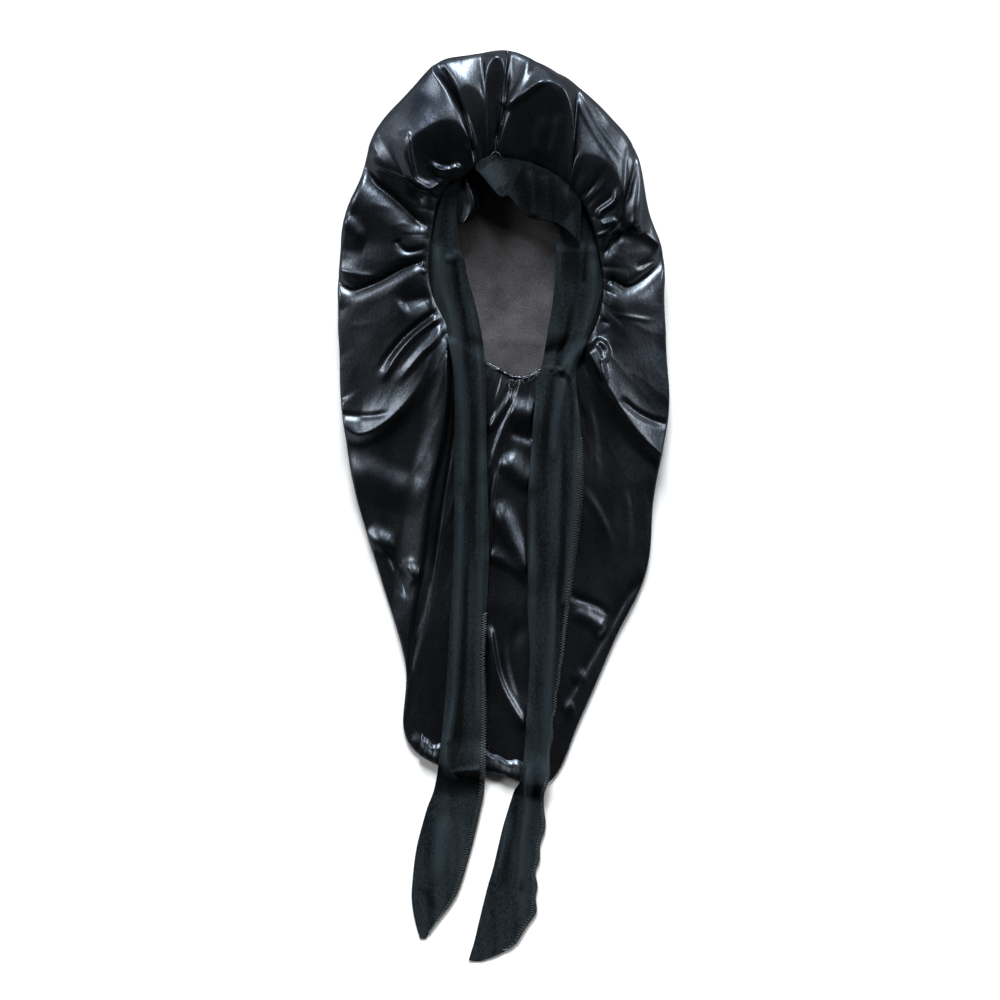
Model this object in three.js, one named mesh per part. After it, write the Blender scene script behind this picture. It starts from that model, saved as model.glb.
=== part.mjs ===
// A long sleep bonnet of black satin, lying on its back as it is put away. A gathered sack hangs from
// a round face opening, which a jersey band edges. The band's ends run on as two long ties, which lie
// down the front of the sack and past its hem. Millimetres, +Z up, +X to the right, +Y to the crown.
import * as THREE from "three";
import { mergeVertices } from "three/addons/utils/BufferGeometryUtils.js";

// Driving dimensions
const SATIN_WALL = 1.6;
const JERSEY_WALL = 1.8;
const SEAM_GAP = 0.35;
const EDGE_HEIGHT = SATIN_WALL + SEAM_GAP;
const RIM_HEIGHT_AT_CROWN = 44;
const RIM_HEIGHT_AT_NAPE = 31;
const ROLL_WIDTH = 72;
const ROLL_SHARE = 0.85;
const FOLD_FADES_FROM = 0.55;
const FOLD_FADES_TO = 0.97;
const GATHER_REACH = 24;
const RIM_BLEND = 44;
const PUCKERS_PER_STATION = 1;
const PUCKER_DEPTH = 1.6;
const NAPE_TUBE_RADIUS = 2.4;
const NAPE_TUBE_REACH = NAPE_TUBE_RADIUS * 1.2;
const NAPE_PUCKER_SHARE = 0.18;
const NAPE_PUCKERS_PER_STATION = 2;
const HEM_WIDTH = 22;
const HEM_LIFT = 0.8;
const TIE_SEAM_GAP = 1.5 * SEAM_GAP;
const TIE_CLEARANCE = 0.6;
const TIE_LIFTS_OVER = 2;

// How finely each sheet is faceted
const COLUMNS_PER_STATION = 3;
const SHEET_ROWS = [0, 0.045, 0.1, 0.17, 0.25, 0.34, 0.44, 0.54, 0.64, 0.73, 0.81, 0.88, 0.935, 0.975, 1];
const SLOPE_STEP = 0.004;

// One row for each main fold or valley, round the face opening from the crown's seam over the wearer's
// right side. It runs from the gathered rim to the sack's outline; crest is its height over the sack.
const station = (rimX, rimY, edgeX, edgeY, crest) => ({ rimX, rimY, edgeX, edgeY, crest });
const STATIONS = [
  station(-8, 317, 3, 412, -9),
  station(-19, 314, -31, 408, 8),
  station(-30, 303, -60, 401, -8),
  station(-40, 295, -92, 369, 12),
  station(-53, 291, -117, 339, -7),
  station(-60, 274, -130, 298, 9),
  station(-64, 255, -144, 265, -5),
  station(-67, 235, -149, 229, 4),
  station(-68, 213, -151, 188, 7),
  station(-64, 191, -150, 144, -5),
  station(-55, 172, -147, 85, 7),
  station(-46, 156, -135, 13, -4),
  station(-36, 143, -112, -64, 6),
  station(-22, 135, -90, -141, -3),
  station(-7, 126, -91, -203, 3),
  station(1, 121, -65, -231, -1),
  station(11, 117, -13, -240, -3),
  station(23, 119, 40, -252, 3),
  station(37, 127, 69, -191, -2),
  station(52, 134, 100, -120, 4),
  station(65, 141, 129, -57, -4),
  station(77, 154, 136, 13, 6),
  station(84, 170, 149, 85, -5),
  station(88, 188, 147, 143, 4),
  station(89, 204, 145, 188, -4),
  station(86, 224, 144, 229, 7),
  station(80, 251, 133, 260, -6),
  station(72, 272, 124, 301, 9),
  station(63, 285, 118, 324, -5),
  station(52, 296, 90, 360, 11),
  station(37, 305, 59, 385, -5),
  station(14, 314, 32, 401, 11),
];
const CROWN = 0;
const CENTRE_FRONT = 16;

// How high the sack stands along its length.
const level = (y, top) => ({ y, top });
const LEVELS = [
  level(-252, 15),
  level(-190, 24),
  level(-80, 33),
  level(50, 42),
  level(150, 48),
  level(230, 53),
  level(330, 62),
  level(412, 60),
];

// The band's width inside the rim, how far its free edge sinks, and how much that edge ruffles.
const bandSection = (at, width, sink, ruffle) => ({ at, width, sink, ruffle });
const BAND_SECTIONS = [
  bandSection(-10.6, 40, 2, 0),
  bandSection(-7, 37, 8, 0),
  bandSection(-5, 40, 9, 1),
  bandSection(-3, 52, 8, 4),
  bandSection(-1.5, 46, 6, 5),
  bandSection(0, 26, 5, 4),
  bandSection(1.5, 14, 6, 2),
  bandSection(4, 24, 9, 1),
  bandSection(7, 30, 9, 0),
  bandSection(10.3, 35, 3, 0),
];
const BAND_COLUMNS = 44;
const BAND_ROWS = 4;
const RUFFLE_TURNS_PER_STATION = 0.55;

// Each tie as a row of its two side edges, from below the band's end to the tip, and how high its
// lengthwise pleats stand.
const tieRow = (leftX, leftY, rightX, rightY, pleat) => ({ leftX, leftY, rightX, rightY, pleat });
const LEFT_TIE = [
  tieRow(-48, 146, -17, 152, 1.5),
  tieRow(-43, 118, -16, 118, 4),
  tieRow(-44, 50, -15, 50, 5),
  tieRow(-46, -40, -14, -40, 5),
  tieRow(-51, -131, -18, -131, 4.5),
  tieRow(-54, -190, -16, -190, 4),
  tieRow(-63, -246, -18, -247, 2.5),
  tieRow(-72, -277, -22, -275, 1.5),
  tieRow(-80, -310, -30, -309, 1),
  tieRow(-84, -345, -40, -343, 1),
  tieRow(-83, -368, -50, -362, 1.5),
  tieRow(-79, -391, -66, -381, 2),
  tieRow(-76, -393, -70, -387, 1),
];
const RIGHT_TIE = [
  tieRow(34, 148, 73, 146, 2),
  tieRow(29, 112, 65, 112, 4),
  tieRow(23, 52, 70, 52, 3.5),
  tieRow(21, 6, 70, 6, 3),
  tieRow(21, -63, 62, -63, 3),
  tieRow(22, -132, 53, -132, 4),
  tieRow(20, -189, 45, -189, 4),
  tieRow(15, -241, 40, -242, 3.5),
  tieRow(3, -275, 38, -275, 3),
  tieRow(-10, -326, 29, -326, 3),
  tieRow(-20, -362, 28, -362, 2.5),
  tieRow(-27, -391, 12, -394, 1.5),
  tieRow(-31, -407, -10, -407, 1),
  tieRow(-32, -412, -27, -412, 0.6),
];
const TIE_LENGTH_STEPS = 40;
const TIE_WIDTH_STEPS = 8;
const TIE_PLEATS = 2;

const smooth = (from, to, x) => THREE.MathUtils.smoothstep(x, from, to);
const mix = THREE.MathUtils.lerp;

// The smooth curve through four values a step apart, a share f of the way from the second to the third.
const throughFour = ([a, b, c, d], f) =>
  b + 0.5 * f * (c - a + f * (2 * a - 5 * b + 4 * c - d + f * (3 * (b - c) + d - a)));

// A named column of a closed table at a fractional row.
function around(rows, key, at) {
  const whole = Math.floor(at);
  const pick = (k) => rows[THREE.MathUtils.euclideanModulo(whole + k, rows.length)][key];
  return throughFour([-1, 0, 1, 2].map(pick), at - whole);
}

// A named column of an open table at a fractional row.
function down(rows, key, at) {
  const whole = Math.min(Math.floor(at), rows.length - 2);
  const pick = (k) => rows[THREE.MathUtils.clamp(whole + k, 0, rows.length - 1)][key];
  return throughFour([-1, 0, 1, 2].map(pick), at - whole);
}

// A named column of an open table whose key column rises, eased between its rows.
function along(rows, key, position, by) {
  const next = rows.findIndex((row) => row[by] > position);
  if (next === 0) return rows[0][key];
  if (next < 0) return rows[rows.length - 1][key];
  const [low, high] = [rows[next - 1], rows[next]];
  return mix(low[key], high[key], smooth(low[by], high[by], position));
}

const rimPoint = (at) => new THREE.Vector2(around(STATIONS, "rimX", at), around(STATIONS, "rimY", at));
const edgePoint = (at) => new THREE.Vector2(around(STATIONS, "edgeX", at), around(STATIONS, "edgeY", at));

function rimHeight(at) {
  const y = rimPoint(at).y;
  const [nape, crown] = [STATIONS[CENTRE_FRONT].rimY, STATIONS[CROWN].rimY];
  return mix(RIM_HEIGHT_AT_NAPE, RIM_HEIGHT_AT_CROWN, smooth(nape, crown, y));
}

// The sack's front without its folds: rising from the rim, then rolling over down to its outline.
function smoothHeight(at, s) {
  const [rim, edge] = [rimPoint(at), edgePoint(at)];
  const length = rim.distanceTo(edge);
  const here = rim.lerp(edge, s);
  const roll = Math.min(ROLL_WIDTH, ROLL_SHARE * length);
  const inward = Math.min(((1 - s) * length) / roll, 1);
  const top = along(LEVELS, "top", here.y, "y");
  const rolled = mix(EDGE_HEIGHT, top, Math.sqrt(1 - (1 - inward) ** 2));
  return mix(rimHeight(at), rolled, smooth(0, RIM_BLEND / length, s));
}

function foldHeight(at, s) {
  const length = rimPoint(at).distanceTo(edgePoint(at));
  const grown = smooth(0, GATHER_REACH / length, s);
  const faded = 1 - smooth(FOLD_FADES_FROM, FOLD_FADES_TO, s);
  const pucker = PUCKER_DEPTH * Math.cos(2 * Math.PI * PUCKERS_PER_STATION * at);
  const near = grown * (1 - smooth(GATHER_REACH / length, (3 * GATHER_REACH) / length, s));
  return around(STATIONS, "crest", at) * grown * faded + pucker * near;
}

// A point of the front's outer face, and the direction square to the sheet there, folds apart.
function frontPoint(at, s) {
  const [rim, edge] = [rimPoint(at), edgePoint(at)];
  const outward = edge.clone().sub(rim);
  const length = outward.length();
  outward.normalize();
  const [before, after] = [s - SLOPE_STEP, Math.min(s + SLOPE_STEP, 1)];
  const drop = smoothHeight(at, before) - smoothHeight(at, after);
  const lean = s === 1 ? Math.PI / 2 : Math.atan(drop / (length * (after - before)));
  const plan = rim.lerp(edge, s);
  const point = new THREE.Vector3(plan.x, plan.y, smoothHeight(at, s) + foldHeight(at, s));
  const slant = Math.sin(lean);
  const square = new THREE.Vector3(outward.x * slant, outward.y * slant, Math.cos(lean));
  return { point, square };
}

// A closed solid from two matching grids of points, its outer and its inner face.
function sheetSolid(outer, inner) {
  const [spans, drops] = [outer.length - 1, outer[0].length - 1];
  const points = [...outer.flat(), ...inner.flat()];
  const top = (i, j) => i * (drops + 1) + j;
  const under = (i, j) => points.length / 2 + top(i, j);
  const faces = [];
  const quad = (a, b, c, d) => faces.push([a, b, c], [a, c, d]);
  for (let i = 0; i < spans; i++) {
    for (let j = 0; j < drops; j++) {
      quad(top(i, j), top(i + 1, j), top(i + 1, j + 1), top(i, j + 1));
      quad(under(i, j), under(i, j + 1), under(i + 1, j + 1), under(i + 1, j));
    }
    quad(top(i, 0), under(i, 0), under(i + 1, 0), top(i + 1, 0));
    quad(top(i, drops), top(i + 1, drops), under(i + 1, drops), under(i, drops));
  }
  for (let j = 0; j < drops; j++) {
    quad(top(0, j), top(0, j + 1), under(0, j + 1), under(0, j));
    quad(top(spans, j), under(spans, j), under(spans, j + 1), top(spans, j + 1));
  }
  return facing(points, faces);
}

// A geometry with its faces turned outwards.
function facing(points, faces) {
  let volume = 0;
  for (const [a, b, c] of faces) volume += points[a].dot(points[b].clone().cross(points[c]));
  const turned = volume < 0 ? faces.map((face) => [...face].reverse()) : faces;
  const geometry = new THREE.BufferGeometry();
  geometry.setFromPoints(points);
  geometry.setIndex(turned.flat());
  const merged = mergeVertices(geometry, 1e-4);
  merged.computeVertexNormals();
  return merged;
}

const steps = (from, to, count) => Array.from({ length: count + 1 }, (_, i) => mix(from, to, i / count));

// Half of the sack's front, between two stations.
function frontPanel(from, to) {
  const columns = steps(from, to, Math.round((to - from) * COLUMNS_PER_STATION));
  const outer = columns.map((at) => SHEET_ROWS.map((s) => frontPoint(at, s).point));
  const inner = columns.map((at) =>
    SHEET_ROWS.map((s) => {
      const { point, square } = frontPoint(at, s);
      return point.addScaledVector(square, -SATIN_WALL);
    }),
  );
  return sheetSolid(outer, inner);
}

// The sack's back: one flat sheet that the outline of the front stands on.
function backPanel() {
  const count = STATIONS.length * COLUMNS_PER_STATION;
  const outline = new THREE.Shape(steps(0, STATIONS.length, count).slice(0, -1).map(edgePoint));
  return new THREE.ExtrudeGeometry(outline, { depth: SATIN_WALL, bevelEnabled: false });
}

// The direction along the rim, from the crown over the wearer's right side.
const RIM_CHORD = 0.3;
const alongRim = (at) => rimPoint(at + RIM_CHORD).sub(rimPoint(at - RIM_CHORD)).normalize();

// The direction into the face opening, square to its rim.
function inwardAt(at) {
  const run = alongRim(at);
  return new THREE.Vector2(-run.y, run.x);
}

function bandPoint(at, v, face) {
  const section = (key) => along(BAND_SECTIONS, key, at, "at");
  const plan = rimPoint(at).addScaledVector(inwardAt(at), SEAM_GAP + v * section("width"));
  const ruffle = section("ruffle") * v * Math.sin(2 * Math.PI * RUFFLE_TURNS_PER_STATION * at);
  const height = rimHeight(at) - section("sink") * v * v + ruffle;
  return new THREE.Vector3(plan.x, plan.y, height - face * JERSEY_WALL);
}

function foreheadBand() {
  const ends = [BAND_SECTIONS[0].at, BAND_SECTIONS[BAND_SECTIONS.length - 1].at];
  const columns = steps(...ends, BAND_COLUMNS);
  const face = (side) => columns.map((at) => steps(0, 1, BAND_ROWS).map((v) => bandPoint(at, v, side)));
  return sheetSolid(face(0), face(1));
}

// The elastic casing at the nape: a puckered tube just inside the rim, from tie to tie.
const NAPE_FROM = 10.9;
const NAPE_TO = 21;
const NAPE_RINGS = 40;
const NAPE_SIDES = 8;
function napeHem() {
  const rings = steps(NAPE_FROM, NAPE_TO, NAPE_RINGS).map((at) => {
    const pucker = NAPE_PUCKER_SHARE * Math.cos(2 * Math.PI * NAPE_PUCKERS_PER_STATION * at);
    const radius = NAPE_TUBE_RADIUS * (1 + pucker);
    const axis = rimPoint(at).addScaledVector(inwardAt(at), SEAM_GAP + NAPE_TUBE_REACH);
    const across = inwardAt(at);
    return steps(0, 2 * Math.PI, NAPE_SIDES).slice(0, -1).map((angle) => {
      const out = radius * Math.cos(angle);
      const height = rimHeight(at) - SATIN_WALL / 2 + radius * Math.sin(angle);
      return new THREE.Vector3(axis.x + across.x * out, axis.y + across.y * out, height);
    });
  });
  const points = rings.flat();
  const faces = [];
  const ringAt = (i, j) => i * NAPE_SIDES + (j % NAPE_SIDES);
  for (let i = 0; i < NAPE_RINGS; i++) {
    for (let j = 0; j < NAPE_SIDES; j++) {
      faces.push([ringAt(i, j), ringAt(i + 1, j), ringAt(i + 1, j + 1)]);
      faces.push([ringAt(i, j), ringAt(i + 1, j + 1), ringAt(i, j + 1)]);
    }
  }
  for (let j = 1; j < NAPE_SIDES - 1; j++) {
    faces.push([ringAt(0, 0), ringAt(0, j), ringAt(0, j + 1)]);
    faces.push([ringAt(NAPE_RINGS, 0), ringAt(NAPE_RINGS, j + 1), ringAt(NAPE_RINGS, j)]);
  }
  return facing(points, faces);
}

// The hem turned up over the sack's lower end and stitched down on its front.
const HEM_FROM = 14.7;
const HEM_TO = 17.3;
const HEM_COLUMNS = 18;
const HEM_ROWS = 5;
function hemPoint(at, share, lift) {
  const length = rimPoint(at).distanceTo(edgePoint(at));
  const s = 1 - (HEM_WIDTH / length) * (1 - share);
  const { point, square } = frontPoint(at, s);
  return point.addScaledVector(square, lift);
}

function bottomHem() {
  const face = (lift) =>
    steps(HEM_FROM, HEM_TO, HEM_COLUMNS).map((at) =>
      steps(0, 1, HEM_ROWS).map((share) => hemPoint(at, share, lift)),
    );
  return sheetSolid(face(HEM_LIFT + SATIN_WALL), face(HEM_LIFT));
}

// The ground that the ties lie on: the highest point of the sack and its hems over each small cell.
// Across the open mouth the ties hang a little below its rim.
const CELL = 3;
const REACH = 6;
const FINE = 4;
const SACK_ROWS = 130;
const MOUTH_FROM = 9;
const MOUTH_TO = 23;
const MOUTH_INSET = 46;
const MOUTH_SAG = 4.5;
const ground = new Map();
const cellOf = (x, y) => [Math.round(x / CELL), Math.round(y / CELL)];
function raiseGround({ x, y, z }) {
  const key = cellOf(x, y).join();
  ground.set(key, Math.max(z, ground.get(key) ?? 0));
}
function layGround() {
  for (const at of steps(0, STATIONS.length, STATIONS.length * COLUMNS_PER_STATION * FINE)) {
    for (const s of steps(0, 1, SACK_ROWS)) raiseGround(frontPoint(at, s).point);
  }
  for (const at of steps(MOUTH_FROM, MOUTH_TO, (MOUTH_TO - MOUTH_FROM) * COLUMNS_PER_STATION * FINE)) {
    for (const inset of steps(0, MOUTH_INSET, MOUTH_INSET)) {
      const plan = rimPoint(at).addScaledVector(inwardAt(at), inset);
      raiseGround({ x: plan.x, y: plan.y, z: rimHeight(at) - MOUTH_SAG });
    }
  }
  for (const at of steps(HEM_FROM, HEM_TO, HEM_COLUMNS * FINE)) {
    for (const share of steps(0, 1, HEM_ROWS * FINE)) raiseGround(hemPoint(at, share, HEM_LIFT + SATIN_WALL));
  }
  for (const at of steps(NAPE_FROM, NAPE_TO, NAPE_RINGS * FINE)) {
    const height = rimHeight(at) - SATIN_WALL / 2 + NAPE_TUBE_REACH;
    for (const inset of steps(0, 2 * NAPE_TUBE_REACH, CELL)) {
      const plan = rimPoint(at).addScaledVector(inwardAt(at), inset);
      raiseGround({ x: plan.x, y: plan.y, z: height });
    }
  }
}

// The cells within reach of a plan position.
const discCells = [];
for (let i = -REACH; i <= REACH; i += CELL) {
  for (let j = -REACH; j <= REACH; j += CELL) discCells.push([i / CELL, j / CELL]);
}
function highest(i, j) {
  return Math.max(...discCells.map(([di, dj]) => ground.get([i + di, j + dj].join()) ?? 0));
}
const bridged = new Map();
function bridgedHeight(i, j) {
  const key = [i, j].join();
  if (!bridged.has(key)) {
    const near = discCells.map(([di, dj]) => highest(i + di, j + dj));
    bridged.set(key, near.reduce((sum, z) => sum + z, 0) / near.length);
  }
  return bridged.get(key);
}

// The height at which a cloth bridges the ground under it.
function drapedHeight(x, y) {
  const [i, j] = [Math.floor(x / CELL), Math.floor(y / CELL)];
  const [fx, fy] = [x / CELL - i, y / CELL - j];
  const low = mix(bridgedHeight(i, j), bridgedHeight(i + 1, j), fx);
  const high = mix(bridgedHeight(i, j + 1), bridgedHeight(i + 1, j + 1), fx);
  return mix(low, high, fy);
}

// The highest ground in the cells that touch a plan position.
function groundNear(x, y) {
  const [i, j] = cellOf(x, y);
  const cells = [-1, 0, 1].flatMap((di) => [-1, 0, 1].map((dj) => [i + di, j + dj].join()));
  return Math.max(...cells.map((key) => ground.get(key) ?? 0));
}

// The tie's first row, face to face with the band's end. Past tells which way the tie leaves the band.
function rowAtBand(bandAt, past) {
  const run = alongRim(bandAt).multiplyScalar(past * TIE_SEAM_GAP);
  const outer = bandPoint(bandAt, 0, 0);
  const inner = bandPoint(bandAt, 1, 0);
  const [left, right] = past > 0 ? [outer, inner] : [inner, outer];
  return tieRow(left.x + run.x, left.y + run.y, right.x + run.x, right.y + run.y, 0);
}

// A tie's outer and inner face: down from the band's end, over the nape hem and along the sack.
function tie(laidRows, bandAt, past) {
  const rows = [rowAtBand(bandAt, past), ...laidRows];
  const spans = rows.length - 1;
  const bandHeight = (v) => bandPoint(bandAt, past > 0 ? v : 1 - v, 1).z;
  const lifted = (height) => height + TIE_CLEARANCE * smooth(0, TIE_LIFTS_OVER, height);
  const place = (at, v) => {
    const x = mix(down(rows, "leftX", at), down(rows, "rightX", at), v);
    const y = mix(down(rows, "leftY", at), down(rows, "rightY", at), v);
    const pleat = down(rows, "pleat", at) * 0.5 * (1 - Math.cos(2 * Math.PI * TIE_PLEATS * v));
    const laid = lifted(drapedHeight(x, y)) + pleat;
    const clear = lifted(groundNear(x, y));
    return new THREE.Vector3(x, y, Math.max(mix(bandHeight(v), laid, smooth(0, 1, at)), clear));
  };
  const grid = steps(0, spans, TIE_LENGTH_STEPS).map((at) =>
    steps(0, 1, TIE_WIDTH_STEPS).map((v) => place(at, v)),
  );
  const raised = grid.map((row) => row.map((point) => point.clone().setZ(point.z + JERSEY_WALL)));
  return sheetSolid(raised, grid);
}

const cloth = (color, roughness) => new THREE.MeshStandardMaterial({ color, roughness, metalness: 0 });
const satin = cloth(0x10131a, 0.35);
const satinWrongSide = cloth(0x3a3a3e, 0.85);
const jersey = cloth(0x1c2224, 0.8);

const bonnet = new THREE.Group();
function add(name, geometry, finish) {
  const mesh = new THREE.Mesh(geometry, finish);
  mesh.name = name;
  bonnet.add(mesh);
}

// A narrow seam parts the two halves of the front.
const SEAM_SHARE = 0.02;
layGround();
add("front_left_panel", frontPanel(CROWN + SEAM_SHARE, CENTRE_FRONT - SEAM_SHARE), satin);
add("front_right_panel", frontPanel(CENTRE_FRONT + SEAM_SHARE, STATIONS.length - SEAM_SHARE), satin);
add("back_panel", backPanel(), satinWrongSide);
add("forehead_band", foreheadBand(), jersey);
add("nape_hem", napeHem(), satin);
add("bottom_hem", bottomHem(), satin);
add("left_tie", tie(LEFT_TIE, BAND_SECTIONS[BAND_SECTIONS.length - 1].at, 1), jersey);
add("right_tie", tie(RIGHT_TIE, BAND_SECTIONS[0].at, -1), jersey);

export default bonnet;
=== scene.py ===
import math
from collections import namedtuple

import bmesh
import bpy
import numpy as np
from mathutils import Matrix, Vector
from mathutils.bvhtree import BVHTree


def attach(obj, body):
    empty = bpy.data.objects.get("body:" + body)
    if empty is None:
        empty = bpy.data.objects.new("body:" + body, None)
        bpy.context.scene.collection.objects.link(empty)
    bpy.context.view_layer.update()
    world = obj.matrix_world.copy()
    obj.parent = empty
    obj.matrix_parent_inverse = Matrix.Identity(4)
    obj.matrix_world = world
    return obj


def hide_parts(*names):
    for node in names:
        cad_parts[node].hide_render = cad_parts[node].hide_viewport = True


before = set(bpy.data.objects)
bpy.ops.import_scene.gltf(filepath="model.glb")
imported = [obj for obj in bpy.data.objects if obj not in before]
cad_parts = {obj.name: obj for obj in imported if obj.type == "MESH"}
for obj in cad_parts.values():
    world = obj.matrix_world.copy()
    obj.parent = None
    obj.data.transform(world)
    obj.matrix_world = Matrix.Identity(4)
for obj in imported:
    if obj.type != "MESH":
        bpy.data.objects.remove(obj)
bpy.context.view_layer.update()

# The sack's front
# Two panels of black polyester satin, cut far wider than the face opening and gathered onto its
# rim, so that they stand in puffs round the crown and fall in long folds down to the hem.
MM = 0.001
SATIN_THICKNESS = 0.35 * MM

# One row for each main fold or valley, in millimetres: where the gathered rim and the sack's outline
# lie, from the crown's seam over the wearer's right side and back, how far the sheet bows aside, and
# how far from the rim it has risen to its full height.
Station = namedtuple("Station", "rim_x rim_y edge_x edge_y bow rise")
STATIONS = (
    Station(-8, 317, 3, 412, 0, 8),
    Station(-19, 314, -31, 408, 3, 8),
    Station(-28, 306, -60, 401, 8, 8),
    Station(-38, 297, -92, 369, 3, 8),
    Station(-50, 291, -117, 339, 0, 10),
    Station(-60, 274, -130, 298, 0, 14),
    Station(-64, 255, -144, 265, 0, 16),
    Station(-67, 235, -149, 229, 0, 16),
    Station(-68, 213, -151, 188, 0, 16),
    Station(-64, 191, -150, 144, 0, 18),
    Station(-55, 172, -147, 85, 0, 24),
    Station(-46, 156, -135, 13, 0, 30),
    Station(-36, 143, -112, -64, 0, 40),
    Station(-22, 135, -90, -141, 0, 60),
    Station(-7, 126, -91, -203, -3, 70),
    Station(1, 121, -65, -231, -7, 80),
    Station(11, 117, -13, -240, -13, 80),
    Station(23, 119, 40, -249, -7, 80),
    Station(37, 127, 69, -191, 0, 70),
    Station(52, 134, 100, -120, 0, 60),
    Station(65, 141, 129, -57, 0, 44),
    Station(77, 154, 136, 13, 0, 30),
    Station(84, 170, 149, 85, 0, 24),
    Station(88, 188, 147, 143, 0, 18),
    Station(89, 204, 145, 188, 0, 16),
    Station(86, 224, 144, 229, 0, 14),
    Station(80, 251, 130, 270, 0, 10),
    Station(72, 272, 119, 320, 0, 8),
    Station(66, 281, 98, 350, 0, 8),
    Station(58, 291, 65, 381, 0, 8),
    Station(42, 303, 48, 392, 0, 8),
    Station(18, 313, 27, 403, 0, 8),
)
CENTRE_FRONT = 16
RIM_HEIGHT_AT_CROWN = 40
RIM_HEIGHT_AT_NAPE = 29

# How the sheet leaves the rim: flat at the nape, and above these two values of y ever more straight up,
# hanging over the rim a little. Each such pair is where a smooth step starts and ends.
STEEPENS = (125, 190)
OVERHANG = 4
OVERHANG_REACH = 8
RISE_POWER = 1.75
CRISP_RISE = 0.45
FURTHEST_CREST = 0.93

# How the sheet turns down to the surface at the outline, over a rounded shoulder and a wall with small
# pleats, and is tucked in under itself. Shoulder and pleats are shares of the wall's height.
TUCK_FROM = 0.92
TUCK = 5
SEAM_HEIGHT = 1.2
LOWEST_SATIN = 0.6
SHOULDER = 0.17
WALL_PLEATS = 0.17
DEEPEST_PLEAT = 1.3
PLEAT_WANDER = 0.4
PLEAT_VARIATION = 0.5
PLEAT_SHAPE = 0.8
PLEAT_DIP = 0.35
PLEAT_DIP_FROM = 0.75

# The big puffs of the crown, each between two stations where the cloth is pulled in: where its arch is
# deepest, how far from the rim and how high its crest stands there, how square its two sides are, and
# how crisp its crest is. Stations shortly before the crown's seam count below 0.
Puff = namedtuple("Puff", "first peak last reach height square_first square_last crisp")
PUFFS = (
    Puff(2.05, 3.0, 4.7, 54, 64, 2.4, 2.2, 0.4),
    Puff(0.45, 1.7, 1.97, 70, 54, 2, 4, 0.4),
    Puff(-0.12, 0.3, 0.7, 86, 56, 2.5, 2.5, 0.3),
    Puff(-3.05, -1.95, -0.1, 75, 63, 3.2, 1.75, 1),
    Puff(-6.3, -4.7, -3.08, 40, 53, 2.2, 2.4, 0.4),
)
BEFORE_SEAM = 8
FOOT_RISE = 5
ARCH_FULLNESS = 0.6
CRISP_AT = 0.7

# How high the sack stands along its length, at its top and at its outline, and how domed it is between.
Level = namedtuple("Level", "y top edge dome")
LEVELS = (
    Level(-252, 9, 4, 2),
    Level(-190, 14, 5, 2),
    Level(-80, 19, 6, 2),
    Level(50, 25, 13, 1.7),
    Level(150, 33, 18, 1.5),
    Level(230, 39, 25, 1.3),
    Level(280, 44, 36, 1.25),
    Level(320, 48, 40, 1.2),
    Level(412, 52, 43, 1.35),
)


def smooth(low, high, x):
    """A smooth step from 0 to 1 as x goes from low to high."""
    t = np.clip((x - low) / (high - low), 0, 1)
    return t * t * (3 - 2 * t)


def through_four(a, b, c, d, f):
    """The smooth curve through four values a step apart, a share f of the way from b to c."""
    return b + 0.5 * f * (c - a + f * (2 * a - 5 * b + 4 * c - d + f * (3 * (b - c) + d - a)))


def around(rows, key, at):
    """A column of a closed table at fractional rows."""
    values = np.array([getattr(row, key) for row in rows], float)
    whole = np.floor(at).astype(int)
    return through_four(*(values[(whole + k) % len(values)] for k in (-1, 0, 1, 2)), at - whole)


def down(values, at):
    """An open row of values or points at fractional places."""
    values = np.asarray(values, float)
    whole = np.clip(np.floor(at).astype(int), 0, len(values) - 2)
    near = (values[np.clip(whole + k, 0, len(values) - 1)] for k in (-1, 0, 1, 2))
    share = at - whole
    return through_four(*near, share if values.ndim == 1 else share[:, None])


def uneven(x, seed):
    """A smooth uneven wave between about -1 and 1."""
    rng = np.random.default_rng(seed)
    total = np.zeros_like(x)
    for turns in (1, 2, 3, 5, 8, 13):
        total += np.sin(2 * math.pi * (turns * x / len(STATIONS) + rng.random())) / turns**0.5
    return total / 2


def level_at(key, y):
    """How high the sack's top stands at y, or how wide its roll is."""
    ys = np.array([row.y for row in LEVELS], float)
    values = np.array([getattr(row, key) for row in LEVELS], float)
    i = np.clip(np.searchsorted(ys, y) - 1, 0, len(ys) - 2)
    t = smooth(ys[i], ys[i + 1], y)
    return values[i] * (1 - t) + values[i + 1] * t


def rim_point(at):
    return np.stack([around(STATIONS, "rim_x", at), around(STATIONS, "rim_y", at)], axis=-1)


def edge_point(at):
    return np.stack([around(STATIONS, "edge_x", at), around(STATIONS, "edge_y", at)], axis=-1)


def rim_height(y):
    """How high the gathered rim stands at y."""
    t = smooth(STATIONS[CENTRE_FRONT].rim_y, STATIONS[0].rim_y, y)
    return RIM_HEIGHT_AT_NAPE * (1 - t) + RIM_HEIGHT_AT_CROWN * t


def steepness(rim_y):
    """How steeply the sheet leaves the rim, from 0 to 1."""
    return smooth(*STEEPENS, rim_y)


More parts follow.
